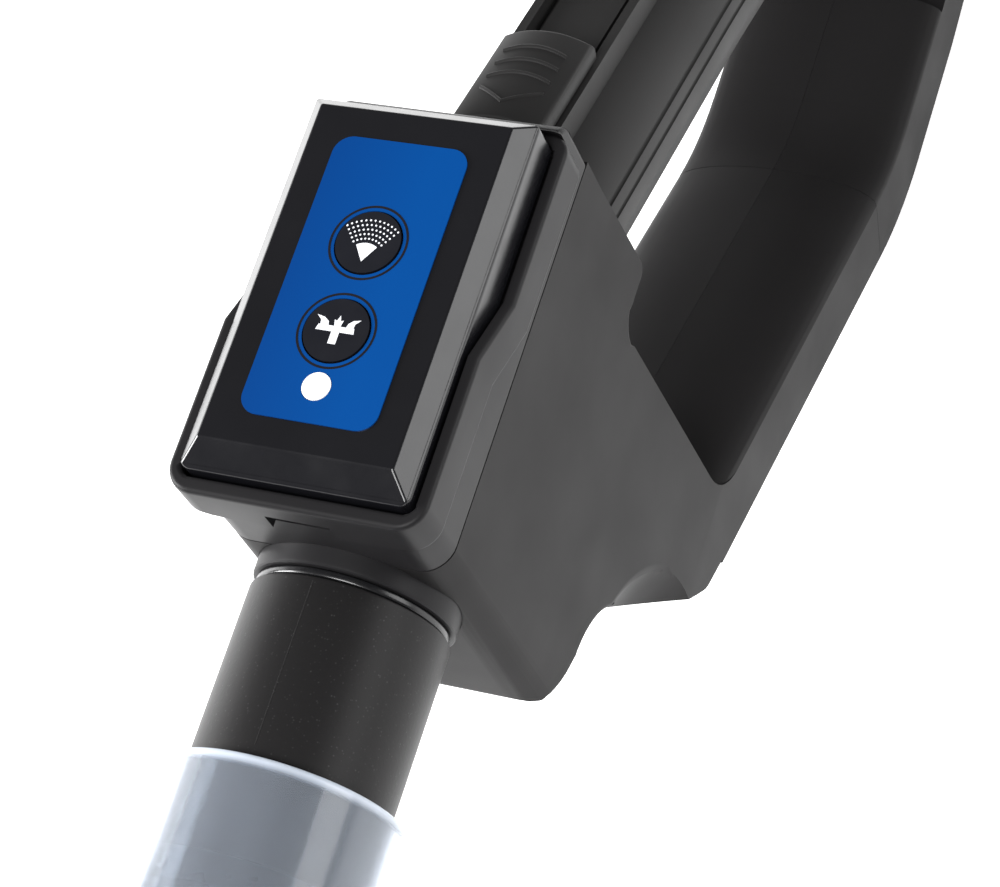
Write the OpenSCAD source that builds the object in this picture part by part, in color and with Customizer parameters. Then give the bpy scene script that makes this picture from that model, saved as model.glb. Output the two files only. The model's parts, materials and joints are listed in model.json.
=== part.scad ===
// Hand piece of a carpet cleaner. A suction pipe bends through a housing with a D-shaped
// hand guard, and a wireless remote with two buttons lies in a cradle on top of it.
// Lengths are in millimetres. The origin is the centre of the sight tube's open end,
// +Y runs up the lower tube towards the hand and +Z is the side that carries the remote.

/* [Lower tube] */
// Outer diameter of the black spigot tube
spigot_d = 38; // [36:0.5:38]
// Outer diameter of the clear sight tube
sight_d = 44; // [44:0.5:48]
// Wall thickness of the spigot tube and the sight tube
tube_wall = 2; // [1.5:0.1:2]
// Length of the sight tube
sight_length = 113.5; // [100:0.5:118]
// Distance from the sight tube's open end to the datum of the housing
datum_y = 130; // [120:1:140]

/* [Upper pipe] */
// Outer diameter of the pipe held inside the guard
pipe_d = 38.4; // [36:0.2:38.4]
// Wall thickness of the pipe
pipe_wall = 2.2; // [1.8:0.1:2.5]
// Angle by which the pipe drops behind the housing, in degrees
bend_angle = 21.5; // [18:0.5:24]
// Distance from the datum to the bend
bend_y = 75; // [72:0.5:78]
// Radius of the gentle curve at the rear of the pipe
curve_r = 600; // [600:10:620]
// Sweep of that curve, in degrees
curve_angle = 16.5; // [16:0.5:17]

/* [Housing] */
// Half of the width of the housing under the remote
body_half = 22.3; // [22.3:0.1:23]
// Half of the width of the hand guard
guard_half = 25; // [24:0.5:26]
// Wall thickness of the housing and the guard
shell_wall = 2.5; // [2:0.1:2.8]
// Thickness of the guard at its sides
guard_t = 15; // [14:0.5:15]
// How far the middle of the guard bulges towards the hand
guard_crown = 7; // [4:0.5:8]
// Angle at which the guard drops away from the housing, in degrees
guard_angle = 23.7; // [23.7:0.1:24]

/* [Cradle and remote] */
// Half of the width of the remote's face at its lower edge
remote_half = 22.2; // [22:0.1:22.2]
// Height of the remote's face above the lower tube's axis
face_z = 42.4; // [42:0.1:43]
// Radius of each push button
button_r = 6.1; // [5.5:0.1:6.1]
// Travel of each push button
button_travel = 0.5; // [0.3:0.1:0.5]
// Half of the width of the cradle's lip
lip_half = 25; // [25:0.1:26]

/* [Air slider] */
// Half of the width of the thumb pad
pad_half = 9.5; // [9:0.1:10]
// Length of the thumb pad
pad_length = 28; // [26:0.5:30]
// Travel of the slider along the pipe
slider_travel = 24; // [15:1:26]

/* [Hidden] */
$fn = 64;

spigot_r = spigot_d / 2;
sight_r = sight_d / 2;
pipe_r = pipe_d / 2;
pipe_bore_r = pipe_r - pipe_wall;
fit_gap = 0.1;
spigot_start = -80;
stop_y = spigot_start - fit_gap;
stop_thickness = 5;
grip_r = 19.4;
spigot_top = 18.2;
sleeve_r = 17;
sleeve_bore_r = 15.2;
sleeve_end = 38;
collar_end = 32;
elbow_r = 18.6;
elbow_bore_r = 16.4;
elbow_bend_r = 60;
elbow_tangent = elbow_bend_r * tan(bend_angle / 2);
pipe_start = 24.1;
curve_start = 97;

// side outline of the housing, measured from the datum as [y, z]
front_y = 23.7;
rear_y = 108.3;
seam_z = 15;
wall_y = 94.6;
shelf_z = -24.5;
corner_r = 15;
front_lean = 1.2;
seam_gap = 0.4;
guard_dir = [cos(guard_angle), -sin(guard_angle)];
guard_up = [sin(guard_angle), cos(guard_angle)];
corner_c = [wall_y + corner_r, -90.8];
guard_start = corner_c - corner_r * guard_up;
sag_r = 64;
sag_c = [217.7, -84.7];
sag_start = sag_c - sag_r * guard_up;
guard_run = norm(sag_start - guard_start);
floor_z = sag_c[1] - sag_r;
loop_end_r = 17;
loop_end_c = [252, floor_z + loop_end_r];
heel_r = 30;
heel_c = [262, floor_z - guard_t + heel_r];
end_angle = bend_angle + curve_angle;
end_dir = [cos(end_angle), -sin(end_angle)];
end_up = [sin(end_angle), cos(end_angle)];
pipe_end = [bend_y + curve_start * cos(bend_angle) + curve_r * (sin(end_angle) - sin(bend_angle)),
            -curve_start * sin(bend_angle) - curve_r * (cos(bend_angle) - cos(end_angle))];
heel_back = (pipe_end - heel_c) * end_dir - heel_r - 0.6;
heel_collar_r = 23.5;
heel_collar_length = 34;
scoop_r = 55;
scoop_c = [66.7, 35, -91.2];
screw_places = [[36, -38], [86, -36], [84, -92], [150, -131], [222, -155], [282, -140]];
screw_r = 1.6;

// cradle, measured from the datum
lip_front = 22.2;
lip_rear = 104.6;
ledge_z = 29;
cradle_floor = 21.6;
pocket_half = 19.9;

// remote, measured from the datum
remote_y = [26, 101.5];
bevel_z = 38.7;
split_z = 30.5;
case_bottom = 22;
case_wall = 1.8;
label_t = 0.3;
spray_y = 72;
suction_y = 54.4;
led_y = 43.5;
board_z = 33;
board_t = 1.6;
switch_top = 37.6;
remote_screw_places = [[-14.2, 33.4], [14.2, 33.4], [-14.2, 94.4], [14.2, 94.4]];

// slider, measured along the straight upper pipe from the bend
rail_out = 10.5;
rail_in = 8.5;
plate_half = 6.7;
plate_top = 20;
rail_top = 21.8;
pad_start = 33;
pad_bottom = 22.3;
pad_top = 28;
pad_curve = 19.5;

// hose swivel, measured along the pipe from its rear end
spigot_rear_r = 17.2;
swivel_r = 21.5;
swivel_length = 46;
hose_r = 16;
hose_depth = 24;

function arc(c, r, a0, a1, n = 8) =
    [for (i = [0:n]) let (a = a0 + (a1 - a0) * i / n) [c[0] + r * cos(a), c[1] + r * sin(a)]];

module at_datum() {
    translate([0, datum_y, 0]) children();
}

// local +Y runs along the straight upper pipe and local +Z away from it
module along_upper() {
    at_datum() translate([0, bend_y, 0]) rotate([-bend_angle, 0, 0]) children();
}

module at_pipe_end() {
    at_datum() translate([0, pipe_end[0], pipe_end[1]]) rotate([-end_angle, 0, 0]) children();
}

module rod(y0, y1, r) {
    translate([0, y0, 0]) rotate([-90, 0, 0]) cylinder(r = r, h = y1 - y0);
}

module tube(y0, y1, r_out, r_in) {
    difference() {
        rod(y0, y1, r_out);
        rod(y0 - 1, y1 + 1, r_in);
    }
}

// a [y, z] outline becomes a solid that is centred on the middle plane
module side_extrude(half) {
    rotate([90, 0, 90]) translate([0, 0, -half]) linear_extrude(2 * half) children();
}

// an [x, z] outline becomes a solid from y0 to y1
module front_extrude(y0, y1) {
    translate([0, y1, 0]) rotate([90, 0, 0]) linear_extrude(y1 - y0) children();
}

module block(x0, x1, y0, y1, z0, z1) {
    translate([x0, y0, z0]) cube([x1 - x0, y1 - y0, z1 - z0]);
}

module rounded_plan(half, y0, y1, r_front, r_rear) {
    polygon(concat(
        arc([-half + r_front, y0 + r_front], r_front, 180, 270),
        arc([half - r_front, y0 + r_front], r_front, 270, 360),
        arc([half - r_rear, y1 - r_rear], r_rear, 0, 90),
        arc([-half + r_rear, y1 - r_rear], r_rear, 90, 180)));
}

module rounded_block(half, y0, y1, r, z0, z1) {
    translate([0, 0, z0]) linear_extrude(z1 - z0) rounded_plan(half, y0, y1, r, r);
}

// ---- lower tube ----

module sight_tube() {
    color([0.75, 0.8, 0.86, 0.5])
    at_datum() difference() {
        rod(-datum_y, sight_length - datum_y, sight_r);
        rod(-datum_y - 1, stop_y - stop_thickness, sight_r - tube_wall);
        rod(-datum_y, sight_length - datum_y + 1, spigot_r - tube_wall);
        rod(stop_y, sight_length - datum_y + 1, grip_r);
    }
}

module spigot_tube() {
    color([0.16, 0.16, 0.16])
    at_datum() difference() {
        union() {
            rod(spigot_start, spigot_top, spigot_r);
            rod(spigot_top - 1, sleeve_end, sleeve_r);
        }
        rod(spigot_start - 1, spigot_top - 8, spigot_r - tube_wall);
        rod(spigot_start, sleeve_end + 1, sleeve_bore_r);
        tube(-40, -34, spigot_r + 1, spigot_r - 0.8);
    }
}

module spigot_gasket() {
    color([0.1, 0.1, 0.1])
    at_datum() tube(-39.8, -34.2, grip_r - 0.05, spigot_r - 0.75);
}

module seal_ring() {
    color([0.06, 0.06, 0.06])
    at_datum() tube(spigot_top + fit_gap, 19.9, 18.35, sleeve_r + fit_gap);
}

module neck_collar() {
    color([0.16, 0.16, 0.16])
    at_datum() difference() {
        union() {
            rod(20, collar_end, 19.3);
            rod(28.6, collar_end, 19.7);
        }
        rod(19, collar_end + 1, sleeve_r + fit_gap);
    }
}

module suction_elbow() {
    color([0.18, 0.18, 0.18])
    difference() {
        elbow_solid(elbow_r);
        elbow_solid(elbow_bore_r, 1);
        at_datum() rod(collar_end - 1, sleeve_end + 0.3, sleeve_r + fit_gap);
    }
}

// the bend is a hair thicker than the straight ends, which run 1 mm into it
module elbow_solid(r, over = 0) {
    at_datum() {
        rod(collar_end + 0.2 - over, bend_y - elbow_tangent + 1, r);
        translate([0, bend_y - elbow_tangent, -elbow_bend_r]) rotate([0, -90, 0])
            rotate_extrude(angle = bend_angle) translate([elbow_bend_r, 0]) circle(r + 0.02);
    }
    along_upper() rod(elbow_tangent - 1, pipe_start - 0.2 + over, r);
}

// ---- upper pipe ----

module pipe_solid(r, from = pipe_start) {
    along_upper() {
        rod(from, curve_start, r);
        translate([0, curve_start, -curve_r]) rotate([0, -90, 0])
            rotate_extrude(angle = curve_angle, $fn = 256) translate([curve_r, 0]) circle(r, $fn = 64);
    }
}

module slider_track() {
    along_upper() difference() {
        intersection() {
            block(-rail_out, rail_out, 31, curve_start - 0.5, 10, rail_top);
            rod(30, curve_start, 24.2);
        }
        block(-plate_half, plate_half, 30, curve_start + 1, plate_top, 30);
        for (side = [-1, 1])
            translate([side * (rail_in + plate_half) / 2, 0, 0])
                block(plate_half / 2 - rail_in / 2, rail_in / 2 - plate_half / 2, 37, 92, 17.8, 30);
    }
}

module upper_pipe() {
    color([0.17, 0.17, 0.17])
    difference() {
        union() {
            pipe_solid(pipe_r);
            slider_track();
            at_pipe_end() rod(-1, 18, spigot_rear_r);
        }
        pipe_solid(pipe_bore_r, pipe_start - 1);
        at_pipe_end() rod(-6, 19, 14.8);
        at_pipe_end() tube(3, 5.4, 20, 15.9);
        at_pipe_end() tube(12.6, 15.2, 20, 16.4);
        along_upper() block(-3.2, 3.2, 37, 46, 12, 25);
    }
}

module air_slider() {
    color([0.15, 0.15, 0.15])
    along_upper() {
        difference() {
            intersection() {
                block(-pad_half, pad_half, pad_start, pad_start + pad_length, pad_bottom, pad_top);
                translate([0, 0, pad_top - pad_curve]) rod(pad_start - 1, pad_start + pad_length + 1, pad_curve);
            }
            block(-6, 6, pad_start + 2, pad_start + pad_length - 2, pad_bottom - 1, pad_bottom + 1.5);
        }
        for (side = [-1, 1])
            translate([side * 7.6, 0, 0]) block(-0.6, 0.6, 40, 58, 18.2, pad_bottom + 0.5);
    }
}

module vent_gasket() {
    color([0.08, 0.08, 0.08])
    along_upper() block(-5.5, 5.5, 35.5, 48, 20.4, pad_bottom + 1.4);
}

module slider_spring() {
    color([0.7, 0.7, 0.68])
    along_upper() difference() {
        block(-4, 4, 50, 58, 20.6, pad_bottom + 1.4);
        block(-5, 5, 51, 57, 21.1, pad_bottom + 0.9);
    }
}

// ---- housing and hand guard ----

module box_outline() {
    polygon(concat(
        [[front_y - 3, seam_z], [front_y - 3, -30]],
        arc([34.6, -39.2], 12.2, 172, 262),
        arc([35.5, -69.4], 18, 82, 30),
        arc([194.8, -14], 151, 198.4, 217.8, 12),
        arc([81, -102.2], 7, 218, 270 - guard_angle),
        [guard_start + 12 * guard_dir - guard_t * guard_up, guard_start + 12 * guard_dir],
        arc(corner_c, corner_r, 270 - guard_angle, 180),
        arc([wall_y + 7, shelf_z - 7], 7, 180, 90),
        arc([rear_y - 2.3, shelf_z + 2.3], 2.3, -90, 0),
        [[rear_y, seam_z]]));
}

module heel_outline() {
    polygon(concat(
        [[245, floor_z]],
        arc(loop_end_c, loop_end_r, -90, 0),
        [[loop_end_c[0] + loop_end_r, floor_z + 42],
         pipe_end - (heel_back + 0.6) * end_dir + 2.5 * end_up],
        arc(heel_c, heel_r, -end_angle, -90),
        [[245, floor_z - guard_t]]));
}

// cross-section of the guard: x across, w towards the hand, drawn smaller by an inset
module guard_section(inset) {
    half = guard_half - inset;
    rise = guard_crown * half / guard_half;
    polygon(concat(
        [for (i = [0:16]) let (a = 180 * i / 16) [half * cos(a), rise * sin(a) - inset]],
        [for (i = [0:8]) let (a = 180 + 180 * i / 8) [half * cos(a), sin(a) + inset - guard_t]]));
}

// the bend is a hair thicker than the straight lengths, which run 1 mm into it
module guard_solid(inset, start) {
    translate([0, guard_start[0], guard_start[1]]) rotate([-guard_angle, 0, 0])
        front_extrude(start, guard_run + 1) guard_section(inset);
    translate([0, sag_c[0], sag_c[1]]) rotate([90, 0, 90]) rotate([0, 0, -90 - guard_angle])
        rotate_extrude(angle = guard_angle, $fn = 128) translate([sag_r, 0]) rotate(90)
            mirror([1, 0]) guard_section(inset - 0.02);
    translate([0, 0, floor_z]) front_extrude(sag_c[0] - 1, 250 - inset) guard_section(inset);
}

module taper_section() {
    polygon([[body_half, 60], [body_half, 5], [guard_half, -98], [guard_half, -200],
             [-guard_half, -200], [-guard_half, -98], [-body_half, 5], [-body_half, 60]]);
}

// drawn at the seam; the front face leans forward below it
module plan_outline() {
    polygon(concat(
        arc([body_half - 5.95, front_y + 6], 6, 270, 360),
        [[30, 75], [30, 330], [-30, 330], [-30, 75]],
        arc([5.95 - body_half, front_y + 6], 6, 180, 270)));
}

module housing_solid() {
    difference() {
        union() {
            intersection() {
                side_extrude(30) box_outline();
                front_extrude(0, 330) taper_section();
                translate([0, front_y, seam_z]) rotate([-front_lean, 0, 0])
                    translate([0, -front_y, -200]) linear_extrude(260) plan_outline();
            }
            guard_solid(0, -14);
            side_extrude(guard_half) heel_outline();
        }
        for (side = [-1, 1])
            translate([side * scoop_c[0], scoop_c[1], scoop_c[2]]) sphere(r = scoop_r, $fn = 96);
    }
}

module housing_hollow() {
    inner_y = front_y + 4.3;
    difference() {
        union() {
            side_extrude(body_half - shell_wall)
                polygon([[inner_y, seam_z + 1], [inner_y - 2.2, -38], [28.2, -45.6], [36.5, -48.5],
                         [46, -50.5], [92, -50.5],
                         [92, -27], [98, -22], [rear_y - shell_wall, -22],
                         [rear_y - shell_wall, seam_z + 1]]);
            side_extrude(14)
                polygon([[52, -50], [54.4, -59], [77, -98], [84, -99], [92, -91], [92, -50]]);
            guard_solid(shell_wall, 12);
        }
        for (p = screw_places)
            translate([0, p[0], p[1]]) rotate([0, 90, 0]) cylinder(r = 3.6, h = 60, center = true);
    }
}

// the two halves share one shell, cut by the pipe, the neck and the screws
module housing_shell() {
    difference() {
        at_datum() difference() {
            union() {
                housing_solid();
                translate([0, pipe_end[0], pipe_end[1]]) rotate([-end_angle, 0, 0])
                    rod(-heel_collar_length - heel_back, -heel_back, heel_collar_r);
            }
            housing_hollow();
            rod(front_y - 5, 30, 19.4);
        }
        pipe_solid(pipe_r + fit_gap, 14);
        at_datum() for (p = screw_places)
            translate([0, p[0], p[1]]) rotate([0, 90, 0]) {
                translate([0, 0, -14]) cylinder(r = screw_r + fit_gap, h = 27.3);
                translate([0, 0, -40]) cylinder(r = 3.2, h = 28);
            }
    }
}

module housing_left() {
    color([0.26, 0.26, 0.27])
    intersection() {
        housing_shell();
        block(-60, -0.03, 0, 500, -250, 100);
    }
}

module housing_right() {
    color([0.26, 0.26, 0.27])
    intersection() {
        housing_shell();
        block(0.03, 60, 0, 500, -250, 100);
    }
}

module housing_screws() {
    color([0.6, 0.6, 0.6])
    at_datum() for (p = screw_places)
        translate([0, p[0], p[1]]) rotate([0, 90, 0]) difference() {
            union() {
                translate([0, 0, -12.05]) cylinder(r = screw_r, h = 25);
                translate([0, 0, -14.4]) cylinder(r = 3, h = 2.4);
            }
            translate([0, 0, -15]) cylinder(r = 1.2, h = 1.8, $fn = 6);
        }
}

// ---- cradle ----

module cover_outline() {
    polygon(concat(
        [[front_y - 3, seam_z + seam_gap], [front_y - 3, 31], [56, 31], [70, 24.5], [101.5, 24.5], [101.5, 31]],
        arc([102.8, 25.5], 5.5, 90, 0),
        [[rear_y, seam_z + seam_gap]]));
}

module lip_outline() {
    polygon([[lip_front, 28], [55, 28], [69, 21.5], [lip_rear, 21.5], [lip_rear, 31], [70, 31],
             [56, 37.5], [lip_front, 37.5]]);
}

module cradle_cover() {
    color([0.22, 0.22, 0.23])
    at_datum() difference() {
        union() {
            intersection() {
                side_extrude(body_half) cover_outline();
                linear_extrude(60) rounded_plan(body_half, front_y, rear_y, 6, 1.5);
            }
            intersection() {
                side_extrude(lip_half) lip_outline();
                linear_extrude(60) rounded_plan(lip_half, lip_front, lip_rear, 5.5, 4);
            }
        }
        rounded_block(remote_half + 0.5, remote_y[0] - 0.5, remote_y[1] + 0.5, 2.4, ledge_z, 60);
        rounded_block(pocket_half, 28.6, 98.9, 2, cradle_floor, 60);
        block(-19.8, 19.8, 28, rear_y - shell_wall, 10, cradle_floor - 1.8);
        rod(10, 33, 19.45);
        block(-6.25, 6.25, 15, 26, 27.7, 32.5);
        block(-6.1, 6.1, 25.2, 29.2, 23.4, 29.1);
    }
}

module latch_tab() {
    color([0.3, 0.3, 0.31])
    at_datum() {
        block(-5.7, 5.7, 26, 27.4, 23.8, 28.8);
        block(-4, 4, 27, 28.8, 26.2, 27.8);
    }
}

// ---- hose swivel ----

module hose_swivel() {
    color([0.15, 0.15, 0.15])
    at_pipe_end() difference() {
        union() {
            rod(0.5, swivel_length, swivel_r);
            for (i = [0:11])
                rotate([0, 30 * i, 0]) translate([swivel_r, 0, 0]) rod(10, 30, 0.9);
        }
        rod(0, 18.4, spigot_rear_r + 0.4);
        rod(12.2, 15.6, 18.9);
        rod(17, swivel_length, 14.6);
        rod(swivel_length - hose_depth, swivel_length + 1, hose_r);
    }
}

module swivel_retainer() {
    color([0.75, 0.75, 0.72])
    at_pipe_end() difference() {
        tube(12.7, 15.1, 18.5, 16.5);
        block(-3, 3, 12, 16, 10, 20);
    }
}

module hose_seal() {
    color([0.07, 0.07, 0.07])
    at_pipe_end() translate([0, 4.2, 0]) rotate([-90, 0, 0])
        rotate_extrude() translate([16.72, 0]) circle(0.8, $fn = 24);
}

// ---- remote ----

module remote_top() {
    color([0.12, 0.12, 0.13])
    at_datum() difference() {
        intersection() {
            front_extrude(0, 130) polygon([[18.8, face_z], [remote_half, bevel_z], [remote_half, split_z],
                                           [-remote_half, split_z], [-remote_half, bevel_z], [-18.8, face_z]]);
            side_extrude(30) polygon([[31, face_z], [98.4, face_z], [remote_y[1], bevel_z],
                                      [remote_y[1], split_z], [remote_y[0], split_z],
                                      [remote_y[0], bevel_z]]);
            linear_extrude(60) rounded_plan(remote_half, remote_y[0], remote_y[1], 2, 1);
        }
        difference() {
            rounded_block(remote_half - case_wall, remote_y[0] + 2.4, remote_y[1] - case_wall, 1.5,
                          split_z - 1, bevel_z - 1);
            remote_bosses(2.8, split_z - 2, face_z);
        }
        difference() {
            rounded_block(17.6, 32, 97, 1.5, bevel_z - 1.1, face_z - case_wall);
            remote_bosses(2.8, split_z - 2, face_z);
        }
        for (y = [spray_y, suction_y])
            translate([0, y, split_z]) cylinder(r = button_r + 0.3, h = 20);
        translate([0, led_y, split_z]) cylinder(r = 2.8, h = 20);
        remote_bosses(1.3, split_z - 1, 36.4);
    }
}

module remote_bosses(r, z0, z1) {
    for (p = remote_screw_places)
        translate([p[0], p[1], z0]) cylinder(r = r, h = z1 - z0);
}

module remote_bottom() {
    color([0.12, 0.12, 0.13])
    at_datum() difference() {
        union() {
            rounded_block(19.4, 29.1, 98.4, 2, case_bottom, split_z - fit_gap);
            rounded_block(21.9, remote_y[0] + 0.4, remote_y[1] - 0.4, 2, 29.4, split_z - fit_gap);
        }
        difference() {
            rounded_block(17.4, 31, 96.6, 1.5, case_bottom + case_wall, 40);
            remote_bosses(3.5, case_bottom, 40);
        }
        translate([0, 64, 10]) cylinder(r = 14.8, h = 20);
        remote_bosses(1.3, 10, 40);
        remote_bosses(2.4, 10, 24);
    }
}

module membrane_label() {
    color([0.0, 0.31, 0.65])
    at_datum() difference() {
        rounded_block(13.15, 36.6, 92.5, 3.6, face_z, face_z + label_t);
        for (y = [spray_y, suction_y])
            translate([0, y, face_z - 1]) cylinder(r = button_r + 0.3, h = 5);
        translate([0, led_y, face_z - 1]) cylinder(r = 2.8, h = 5);
    }
}

module button(y) {
    color([0.07, 0.07, 0.08])
    at_datum() translate([0, y, 0]) {
        translate([0, 0, 40]) cylinder(r = button_r, h = face_z + label_t + 0.25 - 40);
        translate([0, 0, 39.4]) cylinder(r = 7.5, h = 0.9);
        translate([0, 0, switch_top + button_travel + 0.3]) cylinder(r = 2, h = 2);
    }
}

module spray_button() {
    button(spray_y);
}

module suction_button() {
    button(suction_y);
}

module led_window() {
    color([0.93, 0.94, 0.96])
    at_datum() translate([0, led_y, 37]) {
        cylinder(r = 2.7, h = face_z + label_t + 0.05 - 37);
        cylinder(r = 3.8, h = 1.2);
    }
}

module circuit_board() {
    color([0.05, 0.3, 0.15])
    at_datum() rounded_block(16, 38, 90, 1, board_z, board_z + board_t);
}

module tact_switches() {
    color([0.7, 0.7, 0.7])
    at_datum() for (y = [spray_y, suction_y]) {
        block(-3, 3, y - 3, y + 3, board_z + board_t, 37);
        translate([0, y, 36.9]) cylinder(r = 1.6, h = switch_top - 36.9);
    }
}

module status_led() {
    color([0.9, 0.95, 1.0])
    at_datum() translate([0, led_y, board_z + board_t]) {
        cylinder(r = 2, h = 1);
        cylinder(r = 1.5, h = 2);
    }
}

module battery() {
    color([0.8, 0.8, 0.8])
    at_datum() translate([0, 64, 25.4]) cylinder(r = 12.25, h = 5);
}

module battery_contacts() {
    color([0.85, 0.75, 0.4])
    at_datum() {
        block(-3, 3, 58, 74, 30.5, 30.8);
        block(-3, 3, 73.7, 74, 30.8, board_z - 0.05);
        block(12.4, 12.7, 60, 68, 25.6, board_z - 0.05);
    }
}

module battery_door() {
    color([0.14, 0.14, 0.15])
    at_datum() translate([0, 64, 0]) difference() {
        union() {
            translate([0, 0, case_bottom]) cylinder(r = 14.6, h = 1.8);
            translate([0, 0, case_bottom]) cylinder(r = 13, h = 3.2);
        }
        block(-6, 6, -1, 1, case_bottom - 1, case_bottom + 1);
    }
}

module remote_screws() {
    color([0.65, 0.65, 0.65])
    at_datum() for (p = remote_screw_places)
        translate([p[0], p[1], 0]) difference() {
            union() {
                translate([0, 0, 22.5]) cylinder(r = 2.2, h = 1.4);
                translate([0, 0, 22.5]) cylinder(r = 1.15, h = 13);
            }
            translate([0, 0, 22]) cylinder(r = 0.9, h = 1.3, $fn = 6);
        }
}

sight_tube();
spigot_tube();
spigot_gasket();
seal_ring();
neck_collar();
suction_elbow();
upper_pipe();
housing_left();
housing_right();
housing_screws();
cradle_cover();
latch_tab();
air_slider();
vent_gasket();
slider_spring();
hose_swivel();
swivel_retainer();
hose_seal();
remote_top();
remote_bottom();
membrane_label();
spray_button();
suction_button();
led_window();
circuit_board();
tact_switches();
status_led();
battery();
battery_contacts();
battery_door();
remote_screws();
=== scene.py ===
# Hand piece of a carpet cleaner: the looks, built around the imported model. All lengths below are in
# millimetres from the housing datum unless a name says otherwise; toMetres() turns them into the model's frame.
import json
import math

import bmesh
import bpy
from mathutils import Matrix, Vector


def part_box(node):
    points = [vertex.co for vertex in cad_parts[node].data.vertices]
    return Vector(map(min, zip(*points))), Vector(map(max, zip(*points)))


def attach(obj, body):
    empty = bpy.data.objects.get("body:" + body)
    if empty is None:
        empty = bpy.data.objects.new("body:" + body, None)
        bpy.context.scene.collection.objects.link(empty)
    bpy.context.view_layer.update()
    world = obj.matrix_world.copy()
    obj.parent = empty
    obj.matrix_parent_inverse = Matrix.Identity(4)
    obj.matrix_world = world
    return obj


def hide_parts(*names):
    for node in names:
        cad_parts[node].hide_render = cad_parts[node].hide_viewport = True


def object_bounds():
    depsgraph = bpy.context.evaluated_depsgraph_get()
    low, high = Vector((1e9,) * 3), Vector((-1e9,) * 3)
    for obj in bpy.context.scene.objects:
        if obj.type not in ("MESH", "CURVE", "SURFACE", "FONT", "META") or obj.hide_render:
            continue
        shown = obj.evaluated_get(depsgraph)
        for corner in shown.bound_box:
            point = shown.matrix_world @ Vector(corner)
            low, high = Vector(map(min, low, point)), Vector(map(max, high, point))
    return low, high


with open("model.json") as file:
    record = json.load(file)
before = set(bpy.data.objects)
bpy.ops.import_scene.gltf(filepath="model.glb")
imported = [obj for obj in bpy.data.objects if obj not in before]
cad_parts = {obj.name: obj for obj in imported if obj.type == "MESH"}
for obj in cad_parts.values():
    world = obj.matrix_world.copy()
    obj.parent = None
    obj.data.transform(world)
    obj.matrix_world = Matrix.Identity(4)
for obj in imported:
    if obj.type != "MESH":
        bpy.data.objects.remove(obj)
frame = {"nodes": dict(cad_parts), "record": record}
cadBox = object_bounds()
datumY = 130.0  # the housing datum, above the sight tube's open end
pipeBendY = 75.0  # where the upper pipe's straight length begins
pipeDrop = math.radians(21.5)  # its slope down towards the rear
print("frame loaded:", len(frame["nodes"]), "nodes")


def toMetres(x, y, z):
    return Vector((x, datumY + y, z)) * 0.001


def alongUpper(x, s, w):
    # s runs along the straight upper pipe from its bend, w away from its axis
    return toMetres(x, pipeBendY + s * math.cos(pipeDrop) + w * math.sin(pipeDrop),
                    -s * math.sin(pipeDrop) + w * math.cos(pipeDrop))


def selectOnly(piece):
    if bpy.context.mode != "OBJECT":
        bpy.ops.object.mode_set(mode="OBJECT")
    bpy.ops.object.select_all(action="DESELECT")
    piece.select_set(True)
    bpy.context.view_layer.objects.active = piece


def openEdit(piece, mode="EDGE"):
    selectOnly(piece)
    bpy.ops.object.mode_set(mode="EDIT")
    bpy.ops.mesh.select_mode(type=mode)
    bpy.ops.mesh.select_all(action="DESELECT")
    return bmesh.from_edit_mesh(piece.data)


def closeEdit():
    bpy.ops.object.mode_set(mode="OBJECT")


def applied(piece, kind, **settings):
    selectOnly(piece)
    modifier = piece.modifiers.new(kind.lower(), kind)
    for key, value in settings.items():
        setattr(modifier, key, value)
    bpy.ops.object.modifier_apply(modifier=modifier.name)


def newPiece(name):
    piece = bpy.context.object
    piece.name = name
    piece.data.name = name
    return piece


def ringOf(name, places):
    # a filled ring with one corner at each place
    bpy.ops.object.select_all(action="DESELECT")
    bpy.ops.mesh.primitive_circle_add(vertices=len(places), radius=0.01, fill_type="NGON")
    piece = newPiece(name)
    for vertex, place in zip(piece.data.vertices, places):
        vertex.co = place
    return piece


def pushed(piece, step):
    # the ring becomes a closed bar
    openEdit(piece, "FACE")
    bpy.ops.mesh.select_all(action="SELECT")
    bpy.ops.mesh.extrude_region_move(TRANSFORM_OT_translate={"value": step})
    bpy.ops.mesh.select_all(action="SELECT")
    bpy.ops.mesh.normals_make_consistent(inside=False)
    closeEdit()
    return piece


def turned(name, profile, centre, axis, steps=128):
    # a closed (along, radius) profile spun round an axis that lies in the middle plane
    across = Vector((1, 0, 0))
    bpy.ops.object.select_all(action="DESELECT")
    bpy.ops.mesh.primitive_circle_add(vertices=len(profile), radius=0.01)
    piece = newPiece(name)
    for vertex, (along, radius) in zip(piece.data.vertices, profile):
        vertex.co = centre + axis * along * 0.001 + across * radius * 0.001
    openEdit(piece)
    bpy.ops.mesh.select_all(action="SELECT")
    bpy.ops.mesh.spin(steps=steps, angle=2 * math.pi, center=centre, axis=axis)
    bpy.ops.mesh.select_all(action="SELECT")
    bpy.ops.mesh.remove_doubles(threshold=0.000002)
    bpy.ops.mesh.normals_make_consistent(inside=False)
    closeEdit()
    return piece


def softened(corners, radius, steps=3):
    # rounds every corner of a closed outline whose corners are pairs of numbers
    outline = []
    for i, corner in enumerate(corners):
        here = Vector(corner)
        before, after = Vector(corners[i - 1]) - here, Vector(corners[(i + 1) % len(corners)]) - here
        r = radius[i] if isinstance(radius, (list, tuple)) else radius
        if r == 0:
            outline.append(tuple(here))
            continue
        reach = min(r, before.length * 0.45, after.length * 0.45)
        start, end = here + before.normalized() * reach, here + after.normalized() * reach
        for k in range(steps + 1):
            t = k / steps
            outline.append(tuple(start * (1 - t) ** 2 + here * 2 * t * (1 - t) + end * t ** 2))
    return outline


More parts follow.
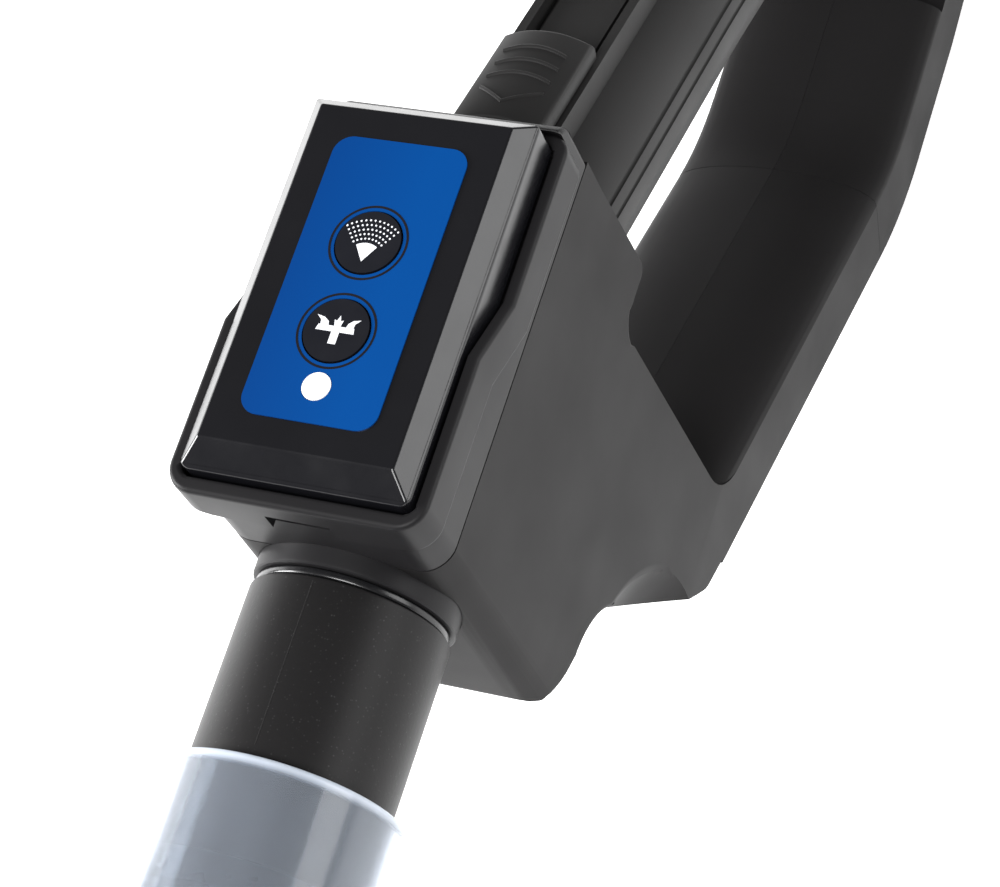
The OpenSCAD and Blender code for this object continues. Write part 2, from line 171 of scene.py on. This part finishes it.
def ownCopy(node, name):
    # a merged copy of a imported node, ready for edge work
    piece = bpy.data.objects.new(name, frame["nodes"][node].data.copy())
    bpy.context.scene.collection.objects.link(piece)
    piece.data.materials.clear()
    selectOnly(piece)
    if piece.data.has_custom_normals:
        bpy.ops.mesh.customdata_custom_splitnormals_clear()
    bpy.ops.object.mode_set(mode="EDIT")
    bpy.ops.mesh.select_all(action="SELECT")
    bpy.ops.mesh.remove_doubles(threshold=0.000003)
    bpy.ops.mesh.mark_sharp(clear=True)
    bpy.ops.mesh.dissolve_limited(angle_limit=math.radians(0.4))
    closeEdit()
    return piece


def roundedEdges(piece, width, wanted, segments=3, sharperThan=30):
    # bevels the sharp edges whose two ends pass the test; the test takes datum millimetres
    mesh = openEdit(piece)
    count = 0
    for edge in mesh.edges:
        if len(edge.link_faces) != 2 or edge.calc_face_angle(0) < math.radians(sharperThan):
            continue
        ends = [(v.co.x * 1000, v.co.y * 1000 - datumY, v.co.z * 1000) for v in edge.verts]
        if all(wanted(*end) for end in ends):
            edge.select_set(True)
            count += 1
    bmesh.update_edit_mesh(piece.data)
    if count:
        bpy.ops.mesh.bevel(offset=width * 0.001, segments=segments, profile=0.5, affect="EDGES",
                           clamp_overlap=False)
    closeEdit()
    print("rounded", count, "edges of", piece.name)
    return piece


def shaded(piece, angle=32, weighted=True):
    selectOnly(piece)
    bpy.ops.object.shade_smooth_by_angle(angle=math.radians(angle))
    if weighted:
        applied(piece, "WEIGHTED_NORMAL", keep_sharp=True, weight=80)
    return piece


def cutBy(piece, cutter):
    applied(piece, "BOOLEAN", object=cutter, operation="DIFFERENCE", solver="MANIFOLD")
    bpy.data.objects.remove(cutter)


def joined(piece, extras):
    selectOnly(piece)
    for extra in extras:
        extra.select_set(True)
    bpy.ops.object.join()
    return piece


def finished(piece, body, slotName, material, *replacedNodes):
    piece.data.materials.clear()
    piece.data.materials.append(material)
    for polygon in piece.data.polygons:
        polygon.material_index = 0
    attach(piece, body)
    if replacedNodes:
        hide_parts(*replacedNodes)
    return piece


def node(tree, kind, **sockets):
    made = tree.nodes.new(kind)
    for key, value in sockets.items():
        made.inputs[key.replace("_", " ")].default_value = value
    return made


def startMaterial(name):
    material = bpy.data.materials.new(name)
    material.use_nodes = True
    tree = material.node_tree
    shader = tree.nodes["Principled BSDF"]
    where = tree.nodes.new("ShaderNodeTexCoord").outputs["Object"]
    return material, tree, shader, where


def noiseAt(tree, where, grains, detail=2.0):
    made = node(tree, "ShaderNodeTexNoise", Scale=grains, Detail=detail)
    tree.links.new(where, made.inputs["Vector"])
    return made.outputs["Fac"]


def rampOf(tree, source, stops):
    ramp = tree.nodes.new("ShaderNodeValToRGB")
    while len(ramp.color_ramp.elements) < len(stops):
        ramp.color_ramp.elements.new(0.5)
    for element, (place, colour) in zip(ramp.color_ramp.elements, stops):
        element.position = place
        element.color = (*colour, 1)
    tree.links.new(source, ramp.inputs["Fac"])
    return ramp.outputs["Color"]


def bumpOn(tree, shader, source, strength, depth):
    bump = node(tree, "ShaderNodeBump", Strength=strength, Distance=depth)
    tree.links.new(source, bump.inputs["Height"])
    tree.links.new(bump.outputs["Normal"], shader.inputs["Normal"])


def scaled(colour, factor):
    return tuple(part * factor for part in colour)


def mouldedPlastic(name, colour, roughness, texture=2600, depth=0.00002, unevenness=0.12, gloss=0.5):
    # fine spark-eroded texture, with slow changes of shade and sheen from handling
    material, tree, shader, where = startMaterial(name)
    shade = rampOf(tree, noiseAt(tree, where, 14, 3), [(0.3, scaled(colour, 1 - unevenness)),
                                                      (0.7, scaled(colour, 1 + unevenness))])
    tree.links.new(shade, shader.inputs["Base Color"])
    sheen = rampOf(tree, noiseAt(tree, where, 45, 4), [(0.3, (roughness - 0.04,) * 3),
                                                      (0.7, (roughness + 0.04,) * 3)])
    tree.links.new(sheen, shader.inputs["Roughness"])
    shader.inputs["Specular IOR Level"].default_value = gloss
    bumpOn(tree, shader, noiseAt(tree, where, texture, 2), 0.35, depth)
    return material


def speckledPlastic(name, colour, speck):
    # regrind plastic: black with sparse pale specks
    material, tree, shader, where = startMaterial(name)
    grains = node(tree, "ShaderNodeTexVoronoi", Scale=1500.0)
    tree.links.new(where, grains.inputs["Vector"])
    chosen = noiseAt(tree, where, 900, 1)
    mask = rampOf(tree, grains.outputs["Distance"], [(0.12, (1, 1, 1)), (0.3, (0, 0, 0))])
    sparse = rampOf(tree, chosen, [(0.5, (0, 0, 0)), (0.68, (1, 1, 1))])
    both = tree.nodes.new("ShaderNodeMix")
    both.data_type = "RGBA"
    both.blend_type = "MULTIPLY"
    both.inputs["Factor"].default_value = 1.0
    tree.links.new(mask, both.inputs["A"])
    tree.links.new(sparse, both.inputs["B"])
    mixed = tree.nodes.new("ShaderNodeMix")
    mixed.data_type = "RGBA"
    mixed.inputs["A"].default_value = (*colour, 1)
    mixed.inputs["B"].default_value = (*speck, 1)
    tree.links.new(both.outputs["Result"], mixed.inputs["Factor"])
    tree.links.new(mixed.outputs["Result"], shader.inputs["Base Color"])
    shader.inputs["Roughness"].default_value = 0.45
    shader.inputs["Specular IOR Level"].default_value = 0.2
    bumpOn(tree, shader, noiseAt(tree, where, 1100, 3), 0.5, 0.00004)
    return material


def polishedPlastic(name, colour, roughness):
    # glossy moulding with the faint waviness of a polished tool
    material, tree, shader, where = startMaterial(name)
    shade = rampOf(tree, noiseAt(tree, where, 30, 3), [(0.3, scaled(colour, 0.9)), (0.7, scaled(colour, 1.1))])
    tree.links.new(shade, shader.inputs["Base Color"])
    sheen = rampOf(tree, noiseAt(tree, where, 160, 4), [(0.3, (roughness * 0.85,) * 3),
                                                       (0.75, (roughness * 1.2,) * 3)])
    tree.links.new(sheen, shader.inputs["Roughness"])
    bumpOn(tree, shader, noiseAt(tree, where, 700, 2), 0.12, 0.00001)
    return material


sleeveHaze = {"rimFrom": -18.6, "rimTo": -17.4, "clear": 0.85, "rim": 0.25}


def milkyPlastic(name, colour):
    # translucent flexible plastic with faint streaks along the tube, whiter at its upper rim
    look = sleeveHaze
    material, tree, shader, where = startMaterial(name)
    stretch = tree.nodes.new("ShaderNodeMapping")
    stretch.inputs["Scale"].default_value = (1.0, 0.06, 1.0)
    tree.links.new(where, stretch.inputs["Vector"])
    streaks = rampOf(tree, noiseAt(tree, stretch.outputs["Vector"], 160, 3),
                     [(0.3, scaled(colour, 0.94)), (0.7, colour)])
    tree.links.new(streaks, shader.inputs["Base Color"])
    haze = rampOf(tree, noiseAt(tree, where, 90, 3), [(0.3, (0.12,) * 3), (0.7, (0.18,) * 3)])
    tree.links.new(haze, shader.inputs["Roughness"])
    place = tree.nodes.new("ShaderNodeSeparateXYZ")
    tree.links.new(where, place.inputs["Vector"])
    rimFrom, rimTo = (datumY + look["rimFrom"]) * 0.001, (datumY + look["rimTo"]) * 0.001
    clearness = node(tree, "ShaderNodeMapRange", From_Min=rimFrom, From_Max=rimTo,
                     To_Min=look["clear"], To_Max=look["rim"])
    tree.links.new(place.outputs["Y"], clearness.inputs["Value"])
    tree.links.new(clearness.outputs["Result"], shader.inputs["Transmission Weight"])
    shader.inputs["IOR"].default_value = 1.45
    return material


def printedFilmWithPaintedLight(name, dark, bright):
    # printed blue film with painted light: darker at its low-x end and lighter towards the lit +x side, under a
    # fine hard-coat texture
    material, tree, shader, where = startMaterial(name)
    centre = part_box("membrane_label")
    mapping = tree.nodes.new("ShaderNodeMapping")
    mapping.inputs["Location"].default_value = (-centre[0].x, -centre[0].y, 0)
    tree.links.new(where, mapping.inputs["Vector"])
    split = tree.nodes.new("ShaderNodeSeparateXYZ")
    tree.links.new(mapping.outputs["Vector"], split.inputs["Vector"])
    across = tree.nodes.new("ShaderNodeMath")
    across.operation = "MULTIPLY"
    across.inputs[1].default_value = 1 / (centre[1].x - centre[0].x)
    tree.links.new(split.outputs["X"], across.inputs[0])
    # painted light: the blue ramps lighter across the film towards the lit +x side
    shade = rampOf(tree, across.outputs["Value"], [(0.0, dark), (0.75, bright)])
    tree.links.new(shade, shader.inputs["Base Color"])
    shader.inputs["Roughness"].default_value = 0.35
    shader.inputs["Specular IOR Level"].default_value = 0.15
    bumpOn(tree, shader, noiseAt(tree, where, 2400, 2), 0.2, 0.00001)
    return material


def metal(name, colour, roughness):
    material, tree, shader, where = startMaterial(name)
    shade = rampOf(tree, noiseAt(tree, where, 400, 3), [(0.3, scaled(colour, 0.85)), (0.7, colour)])
    tree.links.new(shade, shader.inputs["Base Color"])
    shader.inputs["Metallic"].default_value = 1.0
    sheen = rampOf(tree, noiseAt(tree, where, 900, 2), [(0.3, (roughness * 0.8,) * 3),
                                                       (0.7, (roughness * 1.2,) * 3)])
    tree.links.new(sheen, shader.inputs["Roughness"])
    return material


finishes = {
    "housing_plastic": mouldedPlastic("charcoal housing", (0.0145, 0.0138, 0.0142), 0.5, gloss=0.08),
    "cover_plastic": mouldedPlastic("charcoal cradle", (0.014, 0.0135, 0.0145), 0.42, gloss=0.14),
    "pipe_plastic": mouldedPlastic("black pipe", (0.020, 0.0195, 0.0195), 0.45, texture=1700, gloss=0.14),
    "speckled_black": speckledPlastic("speckled spigot", (0.010, 0.0095, 0.0098), (0.035, 0.035, 0.035)),
    "black_rubber": polishedPlastic("black rubber", (0.008, 0.008, 0.009), 0.25),
    "clear_plastic": milkyPlastic("milky sleeve", (0.64, 0.70, 0.79)),
    "remote_plastic": polishedPlastic("piano black", (0.006, 0.006, 0.0075), 0.2),
    # blue film with painted light, lighter towards the lit +x side
    "blue_film": printedFilmWithPaintedLight("blue film", (0.0004, 0.038, 0.18), (0.0002, 0.05, 0.22)),
    # button film, also used as painted shade on the latch tab
    "button_black": polishedPlastic("button film and painted latch shade", (0.006, 0.0065, 0.01), 0.3),
    "white_print": polishedPlastic("white print", (0.82, 0.84, 0.88), 0.45),
    "white_lens": polishedPlastic("white lens", (0.86, 0.88, 0.93), 0.3),
    "zinc_steel": metal("zinc plate", (0.62, 0.62, 0.60), 0.32),
    "natural_nylon": mouldedPlastic("natural nylon", (0.6, 0.57, 0.5), 0.5),
    "board_green": polishedPlastic("solder mask", (0.01, 0.12, 0.05), 0.3),
    "switch_black": mouldedPlastic("switch body", (0.03, 0.03, 0.03), 0.5),
    "spring_brass": metal("spring brass", (0.72, 0.55, 0.25), 0.25),
}
print("materials made:", len(finishes))


housingLook = {"edge": 1.1, "sides": 21.6, "top": 14.0, "guardFrom": 101.0, "guardTo": 253.0,
               "cornerFrom": 62.0, "cornerTo": 200.0, "cornerTop": -88.0}


def housingHalf(name):
    piece = ownCopy(name, name + "_shell")
    look = housingLook

    def onRim(x, y, z):
        onGuard = look["guardFrom"] < y < look["guardTo"]
        atCorner = look["cornerFrom"] < y < look["cornerTo"] and z < look["cornerTop"]
        return abs(x) > look["sides"] and z < look["top"] and not onGuard and not atCorner

    roundedEdges(piece, look["edge"], onRim)
    return finished(shaded(piece), "handle", "housing_plastic", finishes["housing_plastic"], name)


housingHalf("housing_left")
housingHalf("housing_right")
print("housing done")


coverLook = {"outer": 1.0, "inner": 0.35, "lipHalf": 25.0, "lipLow": 21.4, "front": 22.2, "rear": 104.6,
             "corner": 5.6, "rearCorner": 4.1, "slack": 0.05, "windowHalf": 6.4, "pocketTop": 30.9,
             "pocketHalf": 22.8, "pocketFrom": 25.0, "pocketTo": 102.5}


def cradleCover():
    look = coverLook
    piece = ownCopy("cradle_cover", "cradle_cover_shell")

    def onLip(x, y, z):
        side, front, rear, slack = look["lipHalf"], look["front"], look["rear"], look["slack"]
        turning = abs(x) > side - slack or y < front + look["corner"] or y > rear - look["rearCorner"]
        onSide = abs(x) > side - look["corner"] and turning
        return z > look["lipLow"] and (onSide or y < front + slack or y > rear - slack)

    def inPocket(x, y, z):
        return z > look["pocketTop"] and abs(x) < look["pocketHalf"] and look["pocketFrom"] < y < look["pocketTo"]

    roundedEdges(piece, look["outer"], lambda x, y, z: onLip(x, y, z) and not abs(x) < look["windowHalf"])
    roundedEdges(piece, look["inner"], inPocket, segments=2)
    return finished(shaded(piece), "handle", "housing_plastic", finishes["cover_plastic"], "cradle_cover")


cradleCover()
print("cradle done")


tubeLook = {"sightOuter": 22.0, "sightInner": 19.4, "socket": 20.0, "stop": 17.0, "sightTop": -16.5,
            "stopAt": (-85.1, -80.1), "spigot": 19.0, "bore": 17.0, "spigotTop": 18.2, "rim": 0.8}


def sightTube():
    look = tubeLook
    low, high = look["stopAt"]
    profile = softened([
        (-datumY, look["socket"]), (-datumY, look["sightOuter"]), (look["sightTop"], look["sightOuter"]),
        (look["sightTop"], look["sightInner"]), (high, look["sightInner"]), (high, look["stop"]),
        (low, look["stop"]), (low, look["socket"])],
        [0.5, 0.8, 1.1, 0.5, 0.3, 0.5, 0.5, 0.3], 4)
    piece = turned("sight_tube_sleeve", profile, toMetres(0, 0, 0), Vector((0, 1, 0)), 160)
    return finished(shaded(piece, weighted=False), "handle", "clear_plastic", finishes["clear_plastic"],
                    "sight_tube")


def spigotTube():
    look = tubeLook
    outer, inner, top = look["spigot"], look["bore"], look["spigotTop"]
    profile = softened([
        (-80, inner), (-80, outer), (-40, outer), (-40, outer - 0.8), (-34, outer - 0.8), (-34, outer),
        (top, outer), (top, 17), (38, 17), (38, 15.2), (top - 8, 15.2), (top - 8, inner)],
        [0.3, 0.5, 0, 0, 0, 0, look["rim"], 0, 0.3, 0.3, 0, 0], 3)
    piece = turned("spigot_tube_body", profile, toMetres(0, 0, 0), Vector((0, 1, 0)), 160)
    line = ringOf("spigot_line", [toMetres(x, -14, z) for x, z in
                                  ((-0.3, 18.9), (-0.1, 19.035), (0.1, 19.035), (0.3, 18.9))])
    pushed(line, Vector((0, 0.0312, 0)))
    joined(piece, [line])
    return finished(shaded(piece, weighted=False), "handle", "speckled_black", finishes["speckled_black"],
                    "spigot_tube")


def neckParts():
    axis, centre = Vector((0, 1, 0)), toMetres(0, 0, 0)
    collar = turned("neck_collar_body", softened([(20, 17.1), (20, 19.3), (28.6, 19.3), (28.6, 19.7),
                                                  (32, 19.7), (32, 17.1)],
                                                 [0.2, 0.7, 0, 0.2, 0.2, 0.2], 3), centre, axis)
    finished(shaded(collar, weighted=False), "handle", "housing_plastic", finishes["cover_plastic"],
             "neck_collar")
    seal = turned("seal_ring_body", softened([(18.3, 17.1), (18.3, 18.35), (19.9, 18.35), (19.9, 17.1)],
                                             [0.1, 0.6, 0.6, 0.1], 4), centre, axis)
    finished(shaded(seal, weighted=False), "handle", "black_rubber", finishes["black_rubber"], "seal_ring")


sightTube()
spigotTube()
neckParts()
print("lower tube done")


pipeLook = {"radius": 19.2, "grooves": (74.5, 85.5), "cut": 0.62, "start": 20.0, "straight": 97.0,
            "curve": 600.0, "sweep": 13.2}


def alongPipe(name, angle, offset, radius):
    # a bar that follows the pipe at an angle from its top
    look = pipeLook
    a, sides = math.radians(angle), 12
    x, w = (look["radius"] + offset) * math.sin(a), (look["radius"] + offset) * math.cos(a)
    corners = [alongUpper(x + radius * math.cos(2 * math.pi * k / sides), look["start"],
                          w + radius * math.sin(2 * math.pi * k / sides)) for k in range(sides)]
    bar = ringOf(name, corners)
    step = alongUpper(0, look["straight"], 0) - alongUpper(0, look["start"], 0)
    openEdit(bar, "FACE")
    bpy.ops.mesh.select_all(action="SELECT")
    bpy.ops.mesh.extrude_region_move(TRANSFORM_OT_translate={"value": step})
    bpy.ops.mesh.spin(steps=24, angle=math.radians(look["sweep"]), axis=(1, 0, 0),
                      center=alongUpper(0, look["straight"], -look["curve"]))
    bpy.ops.mesh.select_all(action="SELECT")
    bpy.ops.mesh.remove_doubles(threshold=0.000001)
    bpy.ops.mesh.normals_make_consistent(inside=False)
    closeEdit()
    return bar


def upperPipe():
    look = pipeLook
    piece = ownCopy("upper_pipe", "upper_pipe_body")
    for side in (-1, 1):
        for angle in look["grooves"]:
            cutBy(piece, alongPipe("groove", side * angle, 0.1, look["cut"]))
    return finished(shaded(piece), "handle", "pipe_plastic", finishes["pipe_plastic"], "upper_pipe")


upperPipe()
print("upper pipe done")


sliderLook = {"edge": 0.8, "padLow": 22.8, "top": 28.0, "crown": 19.5, "ridges": (46.0, 50.2, 54.4),
              "ridgeHalf": 6.6, "ridge": 0.55, "tip": 37.7, "arms": 42.6}


def crownHeight(x):
    look = sliderLook
    return look["top"] - look["crown"] + math.sqrt(look["crown"] ** 2 - x ** 2)


def ridgeThrough(name, places, radius):
    # a half-sunk bar through (x, s) places on the pad's crown
    sides = 8

    def corner(x, s, k):
        a = 2 * math.pi * k / sides
        return alongUpper(x, s + radius * math.cos(a), crownHeight(x) + radius * math.sin(a) - radius * 0.25)

    bar = ringOf(name, [corner(*places[0], k) for k in range(sides)])
    for before, after in zip(places, places[1:]):
        step = corner(*after, 0) - corner(*before, 0)
        mesh = openEdit(bar, "FACE")
        mesh.faces.ensure_lookup_table()
        furthest = max(mesh.faces, key=lambda face: (face.calc_center_median().x, len(face.verts)))
        furthest.select_set(True)
        bmesh.update_edit_mesh(bar.data)
        bpy.ops.mesh.extrude_region_move(TRANSFORM_OT_translate={"value": step})
        closeEdit()
    openEdit(bar, "FACE")
    bpy.ops.mesh.select_all(action="SELECT")
    bpy.ops.mesh.normals_make_consistent(inside=False)
    closeEdit()
    return bar


def airSlider():
    look = sliderLook
    piece = ownCopy("air_slider", "air_slider_pad")

    def onPad(x, y, z):
        return (y - pipeBendY) * math.sin(pipeDrop) + z * math.cos(pipeDrop) > look["padLow"]

    roundedEdges(piece, look["edge"], onPad)
    bars = []
    reach, count = look["ridgeHalf"], 10
    spread = [reach * (2 * k / count - 1) for k in range(count + 1)]
    for s in look["ridges"]:
        bars.append(ridgeThrough("ridge", [(x, s + 0.9 * (1 - (x / reach) ** 2)) for x in spread],
                                 look["ridge"]))
    bars.append(ridgeThrough("chevron", [(x, look["tip"] + (look["arms"] - look["tip"]) * abs(x) / reach)
                                         for x in spread], look["ridge"]))
    joined(piece, bars)
    return finished(shaded(piece, weighted=False), "air_slider", "pipe_plastic", finishes["pipe_plastic"],
                    "air_slider")


airSlider()
print("slider done")


remoteLook = {"edge": 0.4, "faceZ": 42.4, "film": 0.3, "sprayY": 72.0, "suctionY": 54.4, "ring": (7.0, 7.45),
              "proud": 0.25, "ink": 0.04}


def remoteCase():
    piece = ownCopy("remote_top", "remote_top_shell")
    roundedEdges(piece, remoteLook["edge"],
                 lambda x, y, z: z > 30 and (abs(x) > 18 or y < 31.2 or y > 98.2), sharperThan=20)
    return finished(shaded(piece), "remote", "remote_plastic", finishes["remote_plastic"], "remote_top")


def printedShape(name, places, height):
    # a thin layer of ink on the film
    piece = ringOf(name, [toMetres(x, y, height) for x, y in places])
    return pushed(piece, Vector((0, 0, remoteLook["ink"] * 0.001)))


def buttonRings():
    look = remoteLook
    height = look["faceZ"] + look["film"]
    rings = []
    for name, y in (("spray_outline", look["sprayY"]), ("suction_outline", look["suctionY"])):
        profile = [(height - 0.02, look["ring"][0]), (height - 0.02, look["ring"][1]),
                   (height + 0.03, look["ring"][1]), (height + 0.03, look["ring"][0])]
        rings.append(turned(name, profile, toMetres(0, y, 0), Vector((0, 0, 1)), 96))
    piece = joined(rings[0], rings[1:])
    piece.name = "button_outlines"
    return finished(piece, "remote", "button_black", finishes["button_black"])


def sprayIcon():
    # a nozzle's fan: a filled sector, then rows of drops
    look = remoteLook
    height = look["faceZ"] + look["film"] + look["proud"]
    apex, reach, half = look["sprayY"] - 3.9, 3.7, math.radians(33)
    fan = [(0.0, apex)] + [(reach * math.sin(a), apex + reach * math.cos(a))
                           for a in (half * (k / 5 - 1) for k in range(11))]
    parts = [printedShape("fan", fan, height)]
    for row in range(5):
        r = 4.55 + 0.92 * row
        count = 9 + row
        for k in range(count):
            a = half * 1.12 * (2 * k / (count - 1) - 1)
            x, y = r * math.sin(a), apex + r * math.cos(a)
            dot = [(x + 0.2 * math.cos(t * math.pi / 3), y + 0.2 * math.sin(t * math.pi / 3)) for t in range(6)]
            parts.append(printedShape("drop", dot, height))
    piece = joined(parts[0], parts[1:])
    piece.name = "spray_icon"
    return finished(piece, "spray_button", "white_lens", finishes["white_print"])


def suctionIcon():
    # a floor tool with three rising streams
    look = remoteLook
    height = look["faceZ"] + look["film"] + look["proud"]
    y = look["suctionY"]
    outlines = [
        [(-0.75, y - 2.7), (0.75, y - 2.7), (0.75, y - 0.3), (-0.75, y - 0.3)],
        [(-3.9, y - 0.35), (3.5, y - 0.35), (3.3, y + 0.75), (-3.6, y + 0.75)],
        [(-0.6, y + 0.75), (0.6, y + 0.75), (0.85, y + 2.0), (0.35, y + 1.8), (0, y + 2.9), (-0.4, y + 1.8),
         (-0.9, y + 2.0)],
        [(-3.3, y + 0.75), (-1.7, y + 0.75), (-1.9, y + 1.5), (-2.9, y + 2.2), (-4.4, y + 2.5), (-3.4, y + 1.6)],
        [(1.7, y + 0.75), (3.1, y + 0.75), (3.2, y + 1.6), (4.1, y + 2.5), (2.7, y + 2.2), (1.9, y + 1.5)],
    ]
    parts = [printedShape("mark", outline, height) for outline in outlines]
    piece = joined(parts[0], parts[1:])
    piece.name = "suction_icon"
    return finished(piece, "suction_button", "white_lens", finishes["white_print"])


remoteCase()
buttonRings()
sprayIcon()
suctionIcon()
print("remote done")


def hoseSwivel():
    piece = ownCopy("hose_swivel", "hose_swivel_cuff")
    roundedEdges(piece, 0.5, lambda x, y, z: True, segments=2, sharperThan=45)
    return finished(shaded(piece), "hose_swivel", "pipe_plastic", finishes["pipe_plastic"], "hose_swivel")


hoseSwivel()


for part in frame["record"]["subparts"]:
    packed = frame["nodes"][part["node"]]
    for slotOfNode in packed.material_slots:
        slotOfNode.material = finishes[part["material_slot"]]
# painted shade: the latch tab takes the darker button film, so the latch slot it fills reads as a dark shadowed
# hole
for slotOfNode in frame["nodes"]["latch_tab"].material_slots:
    slotOfNode.material = finishes["button_black"]
print("packed nodes painted")


studio = {"floorZ": cadBox[0].z - 0.002, "floorSize": 14.0, "world": 0.16, "floorGlow": 0.8}


def floor():
    bpy.ops.object.select_all(action="DESELECT")
    bpy.ops.mesh.primitive_plane_add(size=studio["floorSize"], location=(0, 0, studio["floorZ"]))
    piece = newPiece("studio_floor")
    material, tree, shader, where = startMaterial("pale paper")
    shade = rampOf(tree, noiseAt(tree, where, 3, 2), [(0.3, (0.88, 0.88, 0.88)), (0.7, (0.9, 0.9, 0.9))])
    tree.links.new(shade, shader.inputs["Base Color"])
    shader.inputs["Roughness"].default_value = 0.9
    shader.inputs["Emission Color"].default_value = (1, 1, 1, 1)
    shader.inputs["Emission Strength"].default_value = studio["floorGlow"]
    piece.data.materials.append(material)


def softbox(name, place, target, size, watts):
    bpy.ops.object.light_add(type="AREA", location=place)
    lamp = bpy.context.object
    lamp.name = name
    lamp.data.shape = "RECTANGLE"
    lamp.data.size, lamp.data.size_y = size
    lamp.data.energy = watts
    lamp.rotation_euler = (Vector(target) - Vector(place)).to_track_quat("-Z", "Y").to_euler()


def studioCamera():
    bpy.ops.object.camera_add(location=(0.2370, -0.0175, 0.4896))
    eye = bpy.context.object
    eye.name = "studio_camera"
    right, up = Vector((0.9108, 0.2991, -0.2847)), Vector((-0.1539, 0.8856, 0.4382))
    back = Vector((0.3832, -0.3553, 0.8526))
    turn = Matrix((right, up, back)).transposed()
    eye.rotation_mode = "QUATERNION"
    eye.rotation_quaternion = turn.to_quaternion()
    eye.data.lens = 113.4
    eye.data.sensor_width = 36
    eye.data.clip_start = 0.01
    bpy.context.scene.camera = eye


def surroundings():
    world = bpy.data.worlds.new("studio_air")
    world.use_nodes = True
    world.node_tree.nodes["Background"].inputs["Color"].default_value = (1, 1, 1, 1)
    world.node_tree.nodes["Background"].inputs["Strength"].default_value = studio["world"]
    bpy.context.scene.world = world


floor()
surroundings()
softbox("right_box", (1.1, 0.62, 0.42), (0, 0.2, 0.0), (0.9, 0.6), 7.5)
softbox("top_box", (0.1, -0.45, 1.25), (0, 0.22, 0.0), (0.7, 0.6), 21)
softbox("front_box", (-0.95, -0.15, 0.35), (-0.1, 0.12, -0.16), (0.5, 0.5), 22)
softbox("left_box", (-1.0, 0.48, 0.1), (0, 0.12, 0.0), (0.3, 0.5), 1.6)
studioCamera()
bpy.context.scene.view_settings.view_transform = "Standard"
print("studio ready")
